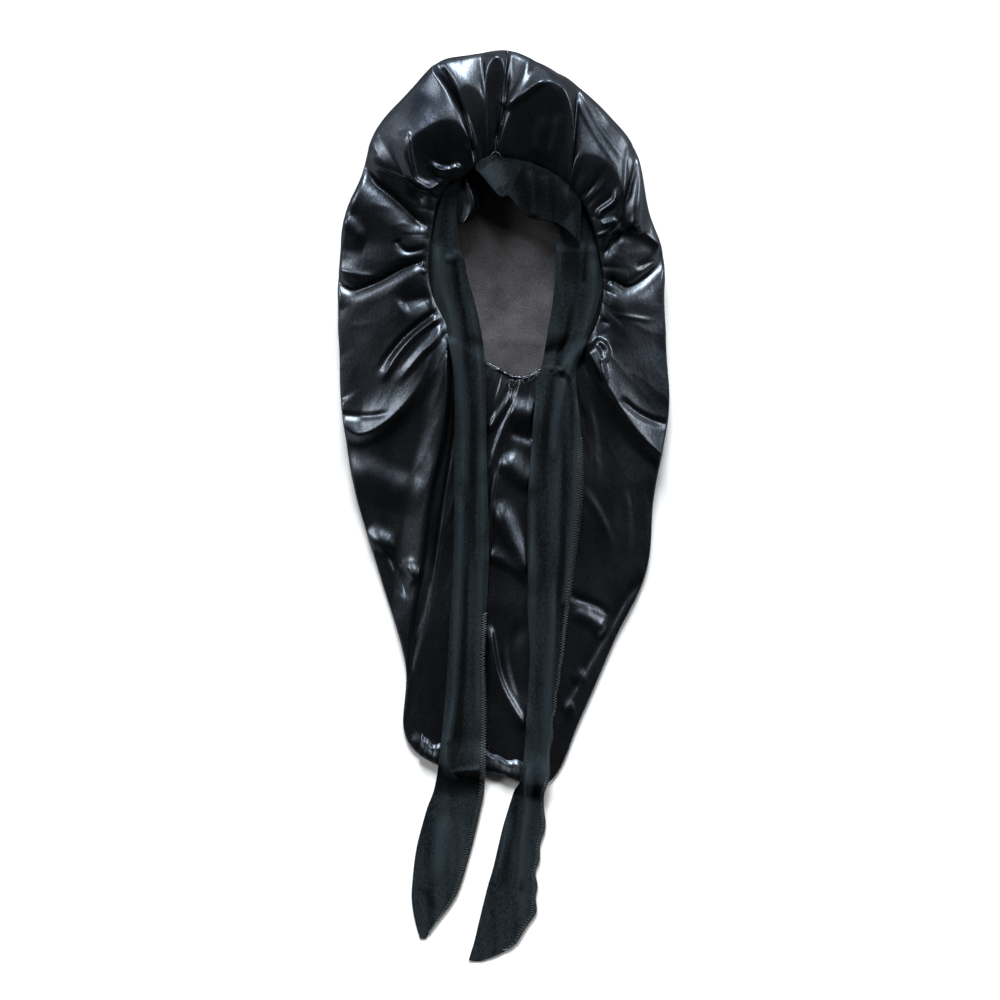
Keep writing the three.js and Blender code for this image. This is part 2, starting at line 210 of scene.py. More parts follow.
def crest(at, rim_y, y):
    """How far from the rim the cloth's crest lies, how high it stands, and how crisp it is."""
    reach = around(STATIONS, "rise", at)
    foot = rim_height(rim_y) + FOOT_RISE
    steep = steepness(rim_y)
    height = foot * steep + level_at("top", y) * (1 - steep)
    crisp = np.zeros_like(at)
    turn = (at + BEFORE_SEAM) % len(STATIONS) - BEFORE_SEAM
    for puff in PUFFS:
        aside = turn - puff.peak
        later = aside > 0
        share = np.abs(aside) / np.where(later, puff.last - puff.peak, puff.peak - puff.first)
        square = np.where(later, puff.square_last, puff.square_first)
        arch = (1 - np.minimum(share, 1) ** square) ** (1 / square)
        reach += np.maximum(puff.reach - reach, 0) * arch
        height += (puff.height - height) * arch**ARCH_FULLNESS
        crisp += puff.crisp * smooth(0, CRISP_AT, arch)
    return reach, height, crisp


def wall_pleat(at):
    """How deep the wall's pleats are, of which there is about one to a station."""
    ridge = np.abs(np.sin(math.pi * (at + PLEAT_WANDER * uneven(at, seed=60))))
    return np.clip((1 - ridge) * (1 + PLEAT_VARIATION * uneven(at, seed=61)), 0, DEEPEST_PLEAT)


def front_base(at, s):
    """The front before its folds, at fractional stations and shares s of the way to the outline.

    It rises from the rim to a crest, falls to the outline, and is tucked in under itself.
    """
    rim, edge = rim_point(at), edge_point(at)
    edge_height = level_at("edge", edge[:, 1])
    depth = WALL_PLEATS * edge_height * wall_pleat(at)
    length = np.hypot(*(edge - rim).T)
    outward = (edge - rim) / length[:, None]
    share = np.clip(s / TUCK_FROM, 0, 1)
    tucked = np.clip((s - TUCK_FROM) / (1 - TUCK_FROM), 0, 1)
    distance = share * length
    plan = rim + outward * distance[:, None]
    plan[:, 0] += around(STATIONS, "bow", at) * np.sin(math.pi * share)
    steep = steepness(rim[:, 1])
    bulge = distance / OVERHANG_REACH * np.exp(1 - distance / OVERHANG_REACH)
    under = TUCK * tucked**2 + depth * np.sin(math.pi * tucked**PLEAT_SHAPE)
    plan -= outward * (OVERHANG * steep * bulge + under)[:, None]
    low = rim_height(rim[:, 1])
    reach, height, crisp = crest(at, rim[:, 1], plan[:, 1])
    reach = np.minimum(reach, FURTHEST_CREST * length)
    near = np.clip(distance / reach, 0, 1)
    power = RISE_POWER - CRISP_RISE * crisp
    risen = steep * (1 - (1 - near) ** power) + (1 - steep) * smooth(0, 1, near)
    far = np.clip((distance - reach) / (length - reach), 0, 1)
    fallen = far ** level_at("dome", edge[:, 1])
    z = low + (height - low) * risen + (edge_height - height) * fallen
    shoulder = SHOULDER * edge_height
    turned = np.clip(1 - (length - distance) / shoulder, 0, 1)
    z -= shoulder * (1 - np.sqrt(1 - turned**2)) + PLEAT_DIP * depth * smooth(PLEAT_DIP_FROM, 1, share)
    return np.column_stack([plan, z + (SEAM_HEIGHT - z) * tucked])


# The folds as the sack lies, in millimetres over the sheet, or under it where a valley's height is below
# 0. left and right are how far the fold slopes down on each side as one walks along its points, and
# sharp is 0 on a round fold, 1 on a crease and 2 on a pinched one.
Fold = namedtuple("Fold", "height left right sharp fade_in fade_out points")
FOLDS = (
    # round the crown, from the wearer's right side over the top
    Fold(6, 5, 24, 0.9, 0.03, 0.15,
         ((-65, 402), (-64, 391), (-58, 382), (-51, 372), (-44, 359), (-36, 346), (-31, 332), (-28, 321))),
    Fold(5, 4, 15, 1, 0.15, 0.3, ((-87, 337), (-86, 320), (-83, 303), (-80, 293), (-75, 287))),
    Fold(3.5, 9, 5, 1.2, 0.3, 0.2, ((-81, 294), (-76, 289), (-68, 286), (-60, 289), (-52, 294))),
    Fold(4, 5, 6, 0.6, 0.3, 0.2, ((-68, 310), (-60, 303), (-50, 302), (-42, 304), (-36, 300))),
    Fold(-5, 10, 8, 0.5, 0.2, 0.3, ((-117, 342), (-104, 318), (-90, 298), (-80, 282), (-68, 270))),
    Fold(3, 8, 6, 0.5, 0.2, 0.3, ((-113, 334), (-100, 310), (-88, 292), (-76, 277))),
    Fold(-8, 16, 25, 1.8, 0.05, 0.15,
         ((-121, 325), (-125, 318), (-125, 310), (-121, 301), (-115, 292), (-105, 284), (-96, 276),
          (-86, 266), (-76, 257), (-65, 248))),
    Fold(5, 12, 16, 0.2, 0.2, 0.4, ((-149, 262), (-140, 253), (-131, 245), (-124, 242))),
    Fold(-3, 6, 9, 1.5, 0.1, 0.15, ((-96, 242), (-93, 235), (-87, 231), (-78, 232), (-68, 235))),
    Fold(2, 7, 4, 1.5, 0.05, 0.3, ((-152, 215), (-141, 213), (-128, 210), (-110, 208))),
    Fold(-6, 14, 21, 2, 0.02, 0.05,
         ((-154, 214), (-149, 206), (-144, 200), (-136, 197), (-128, 199), (-110, 206), (-93, 215),
          (-77, 221), (-70, 221))),
    Fold(2.5, 3, 3, 0.6, 0.1, 0.1, ((-75, 221), (-70, 219), (-69, 214), (-74, 213))),
    Fold(-4.5, 13, 17, 0.5, 0.3, 0.2, ((-95, 182), (-87, 187), (-77, 189), (-66, 191))),
    Fold(9, 32, 12, 0.95, 0.05, 0.35,
         ((-158, 92), (-148, 78), (-134, 68), (-120, 70), (-104, 80), (-88, 96), (-74, 118), (-62, 148))),
    Fold(4, 5, 8, 0.7, 0.1, 0.3,
         ((-57, 173), (-72, 163), (-85, 152), (-97, 138), (-105, 124), (-112, 114))),
    Fold(-5, 9, 5, 0.4, 0.2, 0.3, ((-60, 178), (-76, 166), (-90, 154), (-102, 140), (-112, 124))),
    Fold(3, 5, 7, 0.6, 0.2, 0.3, ((-53, 168), (-62, 152), (-74, 140), (-84, 128), (-98, 112))),
    Fold(-1.6, 3, 4, 0.5, 0.2, 0.3, ((-151, 86), (-134, 84), (-118, 84), (-102, 87))),
    # down the wearer's right side of the sack
    Fold(7, 5, 20, 0.4, 0.1, 0.3,
         ((-49, 157), (-53, 132), (-53, 105), (-56, 76), (-63, 40), (-70, 5), (-77, -50), (-84, -97),
          (-88, -140), (-88, -185))),
    Fold(-4, 5, 6, 0.3, 0.2, 0.3, ((-48, 120), (-49, 80), (-54, 40), (-60, 0), (-67, -50), (-73, -100))),
    Fold(5, 20, 22, 0.1, 0.3, 0.4, ((-144, 38), (-128, 33), (-108, 23), (-88, 14), (-72, 8))),
    Fold(6, 15, 11, 0.2, 0.4, 0.4, ((-126, -20), (-116, -28), (-106, -34), (-98, -36))),
    Fold(-3, 6, 4, 0.5, 0.3, 0.3, ((-110, -30), (-102, -46), (-94, -64), (-88, -82))),
    Fold(5, 9, 8, 0.3, 0.4, 0.4, ((-92, -48), (-85, -56), (-78, -66))),
    Fold(4, 4, 9, 0.7, 0.2, 0.2, ((-84, -206), (-76, -213), (-68, -217), (-61, -221), (-55, -219))),
    Fold(3, 3, 3, 0.6, 0.3, 0.3, ((-63, -221), (-66, -225), (-62, -228), (-58, -224))),
    # between the ties
    Fold(5, 17, 16, 0.2, 0.3, 0.2, ((3, 90), (13, 86), (28, 84))),
    Fold(-3, 7, 7, 0.3, 0.3, 0.3, ((6, 70), (16, 66), (28, 62))),
    Fold(5.5, 18, 12, 0.2, 0.3, 0.2, ((-2, 48), (6, 38), (16, 28), (26, 22))),
    Fold(6, 16, 10, 0.3, 0.25, 0.15, ((-6, 8), (-3, -6), (2, -20), (8, -34), (16, -48), (23, -58))),
    Fold(4, 14, 3.5, 0.6, 0.1, 0.1, ((-14, -42), (-4, -47), (6, -53), (15, -60), (24, -68))),
    Fold(3, 6, 5, 0.5, 0.2, 0.2, ((8, 105), (0, 92), (-8, 80), (-16, 70))),
    Fold(3, 6, 5, 0.5, 0.2, 0.2, ((2, 82), (-5, 62), (-11, 44), (-18, 30))),
    Fold(2.5, 5, 5, 0.4, 0.2, 0.2, ((-6, 38), (-10, 15), (-14, -8), (-18, -25))),
    Fold(5, 4, 13, 0.8, 0.2, 0.1, ((-13, -105), (-11, -123), (-6, -149), (4, -173), (20, -198))),
    Fold(-3, 14, 6, 0.2, 0.2, 0.3, ((14, -100), (6, -125), (10, -155), (20, -180))),
    # down the wearer's left side of the sack
    Fold(-2.5, 5, 9, 0.7, 0.2, 0.2, ((127, -62), (110, -82), (91, -115), (69, -152), (46, -194))),
    Fold(-3, 4, 3, 0.6, 0.2, 0.4, ((58, -79), (72, -83), (86, -89), (97, -97))),
    Fold(3, 7, 10, 0.3, 0.3, 0.4, ((60, -92), (72, -97), (86, -104), (97, -108))),
    Fold(2.2, 9, 7, 0.3, 0.4, 0.4, ((80, -114), (86, -110), (93, -108))),
    Fold(2.2, 9, 7, 0.3, 0.4, 0.4, ((62, -158), (68, -153), (75, -150))),
    Fold(2, 7, 6, 0.3, 0.4, 0.4, ((52, -184), (58, -180), (64, -178))),
    Fold(1.5, 6, 6, 0.5, 0.3, 0.4, ((72, 110), (80, 70), (84, 20))),
    Fold(1.5, 6, 6, 0.5, 0.3, 0.4, ((70, 20), (88, -10), (98, -40))),
    Fold(1.2, 5, 5, 0.5, 0.3, 0.4, ((108, 20), (112, -10), (110, -50))),
    # up the wearer's left side to the crown
    Fold(9, 34, 13, 1, 0.1, 0.03,
         ((72, 148), (84, 126), (95, 106), (109, 84), (127, 62), (150, 42))),
    Fold(-2.5, 4, 5, 0.5, 0.2, 0.3, ((104, 100), (118, 88), (134, 80), (152, 76))),
    Fold(4, 5, 7, 0.6, 0.2, 0.3, ((78, 150), (84, 138), (88, 124), (90, 112))),
    Fold(3.5, 4, 4, 0.6, 0.2, 0.3, ((80, 152), (88, 149), (92, 142), (90, 135), (85, 136))),
    Fold(0.6, 2, 3, 0.7, 0.3, 0.4, ((96, 176), (110, 173), (126, 171), (138, 170))),
    Fold(-2.5, 5, 12, 1.5, 0.05, 0.6, ((80, 172), (87, 169), (96, 166))),
    Fold(-6.3, 15, 23, 2, 0.03, 0.02,
         ((83, 190), (90, 200), (96, 205), (103, 202), (110, 199), (120, 203), (131, 212), (140, 221),
          (147, 234))),
    Fold(-1.8, 5, 7, 1.5, 0.05, 0.3, ((147, 230), (130, 222), (118, 216))),
    Fold(7.5, 10, 12, 0, 0.15, 0.08,
         ((119, 326), (123, 305), (122, 290), (121, 275), (120, 260), (121, 248))),
    Fold(-4.6, 15, 8, 1.8, 0.03, 0.05,
         ((115, 328), (117, 316), (117, 306), (114, 293), (111, 282), (108, 273), (105, 257), (97, 240),
          (85, 222))),
    Fold(3.5, 14, 10, 1.2, 0.15, 0.05, ((110, 257), (122, 250), (130, 245), (142, 236))),
    Fold(0.9, 2.5, 3, 0.8, 0.1, 0.2,
         ((113, 330), (109, 312), (107.5, 291), (106, 268), (101, 250), (96, 238))),
    Fold(2.5, 4, 4, 0.6, 0.2, 0.3, ((84, 260), (86, 266), (98, 275), (101, 288))),
    Fold(2, 4, 4, 0.6, 0.2, 0.3, ((86, 254), (94, 256), (101, 258))),
    Fold(0.9, 3, 4, 0.8, 0.2, 0.3,
         ((58, 378), (66, 366), (73, 350), (82, 334), (92, 318), (103, 302))),
    Fold(0.8, 3, 4, 0.8, 0.2, 0.3,
         ((66, 376), (75, 360), (84, 343), (96, 326), (107, 312))),
    Fold(3, 16, 6, 1, 0.1, 0.2, ((1, 356), (8, 363), (18, 370), (28, 377), (38, 382))),
    Fold(2.5, 6, 8, 0.7, 0.05, 0.2, ((24, 406), (18, 388), (9, 369), (3, 358))),
    Fold(1.5, 4, 5, 0.7, 0.05, 0.3, ((1, 411), (3, 395), (4, 380), (2, 362), (-3, 345))),
    Fold(1.5, 8, 8, 0.2, 0.3, 0.3, ((36, 350), (31, 330), (28, 315))),
    Fold(1.5, 7, 7, 0.2, 0.3, 0.3, ((48, 352), (46, 330), (40, 310))),
)
LINE_STEPS = 28
LINE_MARGIN = 0.02
CREST_RADIUS = 0.9


def smooth_line(points, count=LINE_STEPS):
    """A smooth line through listed points, as count short steps."""
    return down(points, np.linspace(0, len(points) - 1, count + 1))


def fold_lift(plan, fold):
    """How far one fold lifts the sheet at each plan position."""
    line = smooth_line(fold.points)
    reach = max(fold.left, fold.right)
    near = ((plan > line.min(0) - reach) & (plan < line.max(0) + reach)).all(1)
    spots = plan[near]
    best = np.full(len(spots), np.inf)
    side = np.zeros(len(spots))
    along = np.zeros(len(spots))
    for k, (a, b) in enumerate(zip(line[:-1], line[1:])):
        run = b - a
        t = np.clip((spots - a) @ run / (run @ run), 0, 1)
        off = spots - a - t[:, None] * run
        away = np.hypot(off[:, 0], off[:, 1])
        closer = away < best
        best[closer] = away[closer]
        side[closer] = (run[0] * off[:, 1] - run[1] * off[:, 0])[closer]
        along[closer] = ((k + t) / (len(line) - 1))[closer]
    rounded = np.hypot(best, CREST_RADIUS) - CREST_RADIUS
    share = np.clip(rounded / np.where(side > 0, fold.left, fold.right), 0, 1)
    crease = min(fold.sharp, 1)
    profile = (1 - crease) * (1 - smooth(0, 1, share)) + crease * (1 - share) ** (2 * max(fold.sharp, 1))
    faded = smooth(-LINE_MARGIN, fold.fade_in, along)
    faded *= 1 - smooth(1 - fold.fade_out, 1 + LINE_MARGIN, along)
    lift = np.zeros(len(plan))
    lift[near] = fold.height * profile * faded
    return lift


# Round the rim the gathers are fine and close, and further out they run together into fewer, wider ones.
Gather = namedtuple("Gather", "per_station height starts peaks ends")
GATHERS = (
    Gather(1.6, 1.1, -3, 5, 20),
    Gather(0.9, 1.4, 0, 12, 38),
)
GATHER_WANDER = 0.5
GATHER_ROUNDNESS = 0.7
GATHER_MIDDLE = 0.6
GATHER_STRENGTH = 0.7
GATHER_VARIATION = 0.5


def gather_lift(at, distance):
    """The fine gathers at a distance from the rim: round ridges with tight valleys."""
    lift = np.zeros_like(at)
    for number, gather in enumerate(GATHERS):
        phase = gather.per_station * (at + GATHER_WANDER * uneven(at, seed=10 + number))
        ridge = np.abs(np.sin(math.pi * phase)) ** GATHER_ROUNDNESS - GATHER_MIDDLE
        strength = GATHER_STRENGTH + GATHER_VARIATION * uneven(at, seed=20 + number)
        begun = smooth(gather.starts, gather.peaks, distance)
        ended = smooth(gather.peaks, gather.ends, distance)
        lift += gather.height * strength * ridge * (begun * (1 - ended))
    return lift


# The small creases of handled satin, which run from the rim to the outline as the gathers do.
Crease = namedtuple("Crease", "per_station reach height")
CREASES = (Crease(1, 90, 0.9), Crease(2, 45, 0.4), Crease(3, 24, 0.15))
CREASE_SWAY = 0.35
CREASE_SWAY_TURNS = 2.3
CREASE_MIDDLE = 0.35
CREASE_STRENGTH = 1.6
CREASES_BEGIN = (2, 20)
CROWN_CALM = 0.6
CROWN = (260, 330)
LATTICE = 97


def drift(x, y, turns, seed):
    """Smooth noise between -1 and 1 on a lattice that closes after a number of turns along x."""
    knots = np.random.default_rng(seed).uniform(-1, 1, (turns, LATTICE))
    i, j = np.floor(x).astype(int), np.floor(y).astype(int)
    fx, fy = smooth(0, 1, x - i), smooth(0, 1, y - j)
    low, high = i % turns, (i + 1) % turns
    rows = (j % LATTICE, (j + 1) % LATTICE)
    near, far = (knots[low, row] * (1 - fx) + knots[high, row] * fx for row in rows)
    return near * (1 - fy) + far * fy


def crease_lift(at, distance, y):
    """The small creases, which are calmer over the crown."""
    lift = np.zeros_like(at)
    for number, crease in enumerate(CREASES):
        turns = crease.per_station * len(STATIONS)
        x = at * crease.per_station + CREASE_SWAY * np.sin(distance / crease.reach * CREASE_SWAY_TURNS)
        wave = drift(x, distance / crease.reach, turns, seed=30 + number)
        lift += crease.height * (CREASE_MIDDLE - np.abs(wave)) * CREASE_STRENGTH
    return lift * smooth(*CREASES_BEGIN, distance) * (1 - CROWN_CALM * smooth(*CROWN, y))


SEAM_GROOVE = 3
SEAM_WIDTH = 2.1
SEAM_SPAN = 0.5


def share_along(plan, seam):
    """The share of the way from the rim to the outline, at a seam's station."""
    rim, edge = rim_point(np.array([float(seam)]))[0], edge_point(np.array([float(seam)]))[0]
    return np.clip((plan - rim) @ (edge - rim) / ((edge - rim) @ (edge - rim)), 0, 1)


def seam_lift(at, plan):
    """The groove where the two panels are sewn together, down the middle and over the crown."""
    lift = np.zeros_like(at)
    for seam in (0, CENTRE_FRONT, len(STATIONS)):
        close = np.abs(at - seam) < SEAM_SPAN
        here = plan[close]
        beside = front_base(np.full(close.sum(), float(seam)), share_along(here, seam))[:, :2]
        lift[close] -= SEAM_GROOVE * np.exp(-((np.hypot(*(here - beside).T) / SEAM_WIDTH) ** 2))
    return lift


# How far from the rim the folds begin, and at which shares of the way to the outline they fade.
FOLDS_BEGIN = (0, 10)
FOLDS_FADE = (0.9, 0.97)


def front_shape(at, s):
    """The sack's front with its folds and gathers, in millimetres."""
    base = front_base(at, s)
    plan = base[:, :2]
    distance = np.hypot(*(plan - rim_point(at)).T)
    lift = sum(fold_lift(plan, fold) for fold in FOLDS) + crease_lift(at, distance, plan[:, 1])
    lift *= smooth(*FOLDS_BEGIN, distance) * (1 - smooth(*FOLDS_FADE, s))
    base[:, 2] += lift + gather_lift(at, distance)
    return base


MERGE_DISTANCE = 0.02 * MM


def new_object(name, data):
    """An object at the scene's origin."""
    made = bpy.data.objects.new(name, data)
    bpy.context.scene.collection.objects.link(made)
    return made


def cloth_grid(name, place, columns, rows, closed=False):
    """A grid of cloth. Its point at shares u and v of its two sides lies at place(u, v), in millimetres."""
    bm = bmesh.new()
    bm.loops.layers.uv.new("UVMap")
    bmesh.ops.create_grid(bm, x_segments=columns, y_segments=rows, size=0.5, calc_uvs=True)
    bm.verts.ensure_lookup_table()
    flat = np.array([vert.co for vert in bm.verts]) + 0.5
    for vert, point in zip(bm.verts, place(flat[:, 0], flat[:, 1]) * MM):
        vert.co = point
    if closed:
        bmesh.ops.remove_doubles(bm, verts=bm.verts, dist=MERGE_DISTANCE)
        bmesh.ops.recalc_face_normals(bm, faces=bm.faces)
    else:
        bm.normal_update()
        if sum(face.normal.z for face in bm.faces) < 0:
            bmesh.ops.reverse_faces(bm, faces=bm.faces)
    mesh = bpy.data.meshes.new(name)
    bm.to_mesh(mesh)
    bm.free()
    mesh.shade_smooth()
    return new_object(name, mesh)


def give_thickness(piece, thickness, *materials):
    """Thickens a sheet behind its outer face, and gives it the materials of its two sides."""
    for material in materials:
        piece.data.materials.append(material)
    wall = piece.modifiers.new("thickness", "SOLIDIFY")
    wall.thickness = thickness
    wall.offset = -1
    wall.material_offset = len(materials) - 1


def shader_group(name, inputs, outputs):
    """An empty group of shader nodes with number inputs and its named outputs."""
    group = bpy.data.node_groups.new(name, "ShaderNodeTree")
    for label, value in inputs.items():
        socket = group.interface.new_socket(label, in_out="INPUT", socket_type="NodeSocketFloat")
        socket.default_value = value
    for label in outputs:
        group.interface.new_socket(label, in_out="OUTPUT", socket_type="NodeSocketFloat")
    return group


def set_values(node, values):
    """Sets a node's inputs, by name or number."""
    for key, value in values.items():
        node.inputs[key].default_value = value


def add_node(tree, kind, x, y, values=None, **settings):
    """A new node at a place in the tree, with its settings and the values of its inputs."""
    made = tree.nodes.new(kind)
    made.location = (x, y)
    for key, value in settings.items():
        setattr(made, key, value)
    set_values(made, values or {})
    return made


def join(tree, *links):
    """Links nodes. Each row names a node, its output, the next node and that node's input."""
    for source, output, target, place in links:
        tree.links.new(source.outputs[output], target.inputs[place])


# The uneven yarns' scale as a share of the fine streaks', and how much more they count in the relief.
SLUB_SCALE = 0.3
SLUB_SHARE = 3
YARN_RELIEF = 0.13 * MM
MIXED_LOW = 0.75
MIXED_HIGH = 1.25


def yarn_group():
    """Fine streaks along the yarns, uneven yarns a few times wider, and broad patches, from 0 to 1."""
    inputs = {"Across": 1500, "Along": 300, "Patches": 40, "Patch Length": 1}
    group = shader_group("yarns", inputs, ("Streaks", "Slubs", "Patches"))
    given = add_node(group, "NodeGroupInput", -900, 0)
    place = add_node(group, "ShaderNodeTexCoord", -900, 300)
    out = add_node(group, "NodeGroupOutput", 200, 0)
    scale = add_node(group, "ShaderNodeCombineXYZ", -700, 0)
    for label, axis in (("Across", "X"), ("Along", "Y"), ("Across", "Z")):
        join(group, (given, label, scale, axis))
    wider = {"Scale": SLUB_SCALE}
    slub_scale = add_node(group, "ShaderNodeVectorMath", -500, -50, wider, operation="SCALE")
    join(group, (scale, "Vector", slub_scale, 0))
    length = add_node(group, "ShaderNodeMath", -700, -250, operation="DIVIDE")
    join(group, (given, "Patches", length, 0), (given, "Patch Length", length, 1))
    patch_scale = add_node(group, "ShaderNodeCombineXYZ", -500, -250)
    join(
        group,
        (given, "Patches", patch_scale, "X"), (length, "Value", patch_scale, "Y"),
        (given, "Patches", patch_scale, "Z"),
    )
    noises = (("Streaks", scale, 2), ("Slubs", slub_scale, 2), ("Patches", patch_scale, 3))
    for y, (label, source, detail) in enumerate(noises):
        stretched = add_node(group, "ShaderNodeVectorMath", -250, -200 * y, operation="MULTIPLY")
        noise = add_node(group, "ShaderNodeTexNoise", -50, -200 * y, {"Scale": 1, "Detail": detail})
        join(
            group,
            (place, "Object", stretched, 0), (source, "Vector", stretched, 1),
            (stretched, "Vector", noise, "Vector"), (noise, "Fac", out, label),
        )
    return group


yarns = yarn_group()


def cloth_material(name, low, high, rough, bump, across, along, patches, patch_length=1):
    """A cloth whose colour and roughness wander between two values, with its yarns as fine relief."""
    material = bpy.data.materials.new(name)
    material.use_nodes = True
    tree = material.node_tree
    shader = tree.nodes["Principled BSDF"]
    scales = {"Across": across, "Along": along, "Patches": patches, "Patch Length": patch_length}
    grain = add_node(tree, "ShaderNodeGroup", -900, 0, node_tree=yarns)
    set_values(grain, scales)
    both = add_node(tree, "ShaderNodeMath", -700, 100, operation="ADD")
    span = {"From Min": MIXED_LOW, "From Max": MIXED_HIGH}
    half = add_node(tree, "ShaderNodeMapRange", -500, 100, span)
    # An attribute of painted highlight on fold crests and painted shade in fold valleys lightens or darkens
    # the colour, on the pieces that carry it.
    painted_light_and_shade = add_node(tree, "ShaderNodeAttribute", -500, 350, attribute_name="painted_light_and_shade")
    shade = add_node(tree, "ShaderNodeMath", -400, 250, operation="ADD", use_clamp=True)
    ends = {"A": (*low, 1), "B": (*high, 1)}
    colour = add_node(tree, "ShaderNodeMix", -300, 200, ends, data_type="RGBA")
    span = {"To Min": rough[0], "To Max": rough[1]}
    roughness = add_node(tree, "ShaderNodeMapRange", -300, -100, span)
    height = add_node(tree, "ShaderNodeMath", -500, -400, {1: SLUB_SHARE}, operation="MULTIPLY_ADD")
    depth = {"Strength": bump, "Distance": YARN_RELIEF}
    relief = add_node(tree, "ShaderNodeBump", -300, -400, depth)
    join(
        tree,
        (grain, "Streaks", both, 0), (grain, "Patches", both, 1), (both, "Value", half, "Value"),
        (half, "Result", shade, 0), (painted_light_and_shade, "Fac", shade, 1), (shade, "Value", colour, "Factor"),
        (colour, "Result", shader, "Base Color"), (grain, "Patches", roughness, "Value"),
        (roughness, "Result", shader, "Roughness"), (grain, "Slubs", height, 0),
        (grain, "Streaks", height, 2), (height, "Value", relief, "Height"),
        (relief, "Normal", shader, "Normal"),
    )
    return material, shader


satin, satin_shader = cloth_material(
    "black_satin", low=(0.034, 0.042, 0.056), high=(0.08, 0.09, 0.102), rough=(0.34, 0.42),
    bump=0.5, across=1100, along=420, patches=30, patch_length=3
)
set_values(satin_shader, {"Metallic": 1, "Specular Tint": (0.12, 0.12, 0.14, 1)})
set_values(satin_shader, {"Coat Weight": 0.2, "Coat Roughness": 0.24})
wrong_side, wrong_side_shader = cloth_material(
    "satin_wrong_side", low=(0.06, 0.059, 0.064), high=(0.115, 0.112, 0.118), rough=(0.8, 0.95),
    bump=0.8, across=700, along=700, patches=45
)
set_values(wrong_side_shader, {"Specular IOR Level": 0.3})

# How the panels' points are spread: closer near the rim and beside the seams.
ROW_GROWTH = 1.2
SEAM_SHARE = 0.006
PANEL_COLUMNS = 440
PANEL_ROWS = 110
EVEN_AT = 0.8
FINE_STEPS = 2000
SEAM_CROWDING = 1.6
SEAM_REACH = 0.12


def front_place(at, v):
    """The front at fractional stations and rows, closer near the rim, with the groove of its seams."""
    points = front_shape(at, v**ROW_GROWTH)
    points[:, 2] = np.maximum(points[:, 2] + seam_lift(at, points[:, :2]), LOWEST_SATIN)
    return points


def even_columns(first, last):
    """Stations between two seams, evenly spaced over the cloth and closer beside the seams."""
    fine = np.linspace(first, last, FINE_STEPS)
    run = np.hypot(*np.diff(front_base(fine, np.full(len(fine), EVEN_AT))[:, :2], axis=0).T)
    middle = (fine[1:] + fine[:-1]) / 2
    beside = np.minimum(middle - first, last - middle)
    run *= 1 + SEAM_CROWDING * np.exp(-((beside / SEAM_REACH) ** 2))
    gone = np.concatenate([[0], np.cumsum(run)])
    return lambda u: np.interp(u * gone[-1], gone, fine)


def front_panel(name, first, last):
    stations = even_columns(first, last)
    panel = cloth_grid(name, lambda u, v: front_place(stations(u), v), PANEL_COLUMNS, PANEL_ROWS)
    give_thickness(panel, SATIN_THICKNESS, satin, wrong_side)
    return panel


left_panel = front_panel("satin_front_left", SEAM_SHARE, CENTRE_FRONT - SEAM_SHARE)
right_panel = front_panel("satin_front_right", CENTRE_FRONT + SEAM_SHARE, len(STATIONS) - SEAM_SHARE)
for panel, cad_node in ((left_panel, "front_left_panel"), (right_panel, "front_right_panel")):
    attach(panel, "root")
    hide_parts(cad_node)

# The sack's back
# One flat sheet of the same satin, which lies on the surface with its shiny side down. Its matte
# grey wrong side shows through the face opening.
BACK_CENTRE = (0, 90)
BACK_HEIGHT = 0.5
BACK_UNDULATION = 1.6
BACK_WAVES = (38, 30)
BACK_CREASE = Fold(1.1, 10, 3, 0.9, 0.3, 0.3, ((-50, 151), (0, 153), (40, 149)))
BACK_RISE = 7
BACK_RISES = (190, 255)
BACK_LEVELS = (0.8, 0.98)
DRIFT_START = (50, 40)


def drift_over(plan, waves, seed):
    """Smooth noise over plan positions, with waves of two lengths, along x and along y."""
    x, y = (plan / waves + DRIFT_START).T
    return drift(x, y, LATTICE, seed)


def back_shape(u, v):
    centre = np.array(BACK_CENTRE, float)
    edge = edge_point(u * len(STATIONS))
    outward = edge - rim_point(u * len(STATIONS))
    edge -= outward * (TUCK / np.hypot(*outward.T))[:, None]
    plan = centre + (edge - centre) * v[:, None]
    waves = 0.5 + 0.5 * drift_over(plan, BACK_WAVES, seed=50)
    rise = BACK_RISE * smooth(*BACK_RISES, plan[:, 1])
    lift = BACK_UNDULATION * waves + fold_lift(plan, BACK_CREASE) + rise
    return np.column_stack([plan, BACK_HEIGHT + lift * (1 - smooth(*BACK_LEVELS, v))])


back = cloth_grid("satin_back", back_shape, columns=192, rows=70, closed=True)
if sum(face.normal.z for face in back.data.polygons) < 0:
    back.data.flip_normals()
give_thickness(back, SATIN_THICKNESS, wrong_side, satin)
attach(back, "root")
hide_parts("back_panel")

# The nape's hem
# At the nape the satin is turned in over a narrow elastic and sewn down, so that the lower edge of
# the face opening is a small puckered roll, with loose ends of thread left on it.
NAPE_FROM = 13.2
NAPE_TO = 18.1
NAPE_HALF_WIDTH = 1.6
NAPE_HALF_HEIGHT = 1.5
NAPE_INWARD = 0.6
NAPE_WANDER = 0.8
NAPE_LEAST = 0.85
NAPE_TWIST = 0.1
NAPE_PUCKER = 0.2
NAPE_PUCKERS = 2.1
NAPE_PUCKER_ROUNDNESS = 0.6
NAPE_ENDS_SINK = 4
NAPE_ENDS = (0.3, 0.45)


def inward_at(at):
    """The direction into the face opening, square to its rim."""
    run = rim_point(at + 0.3) - rim_point(at - 0.3)
    run /= np.hypot(*run.T)[:, None]
    return np.column_stack([-run[:, 1], run[:, 0]])


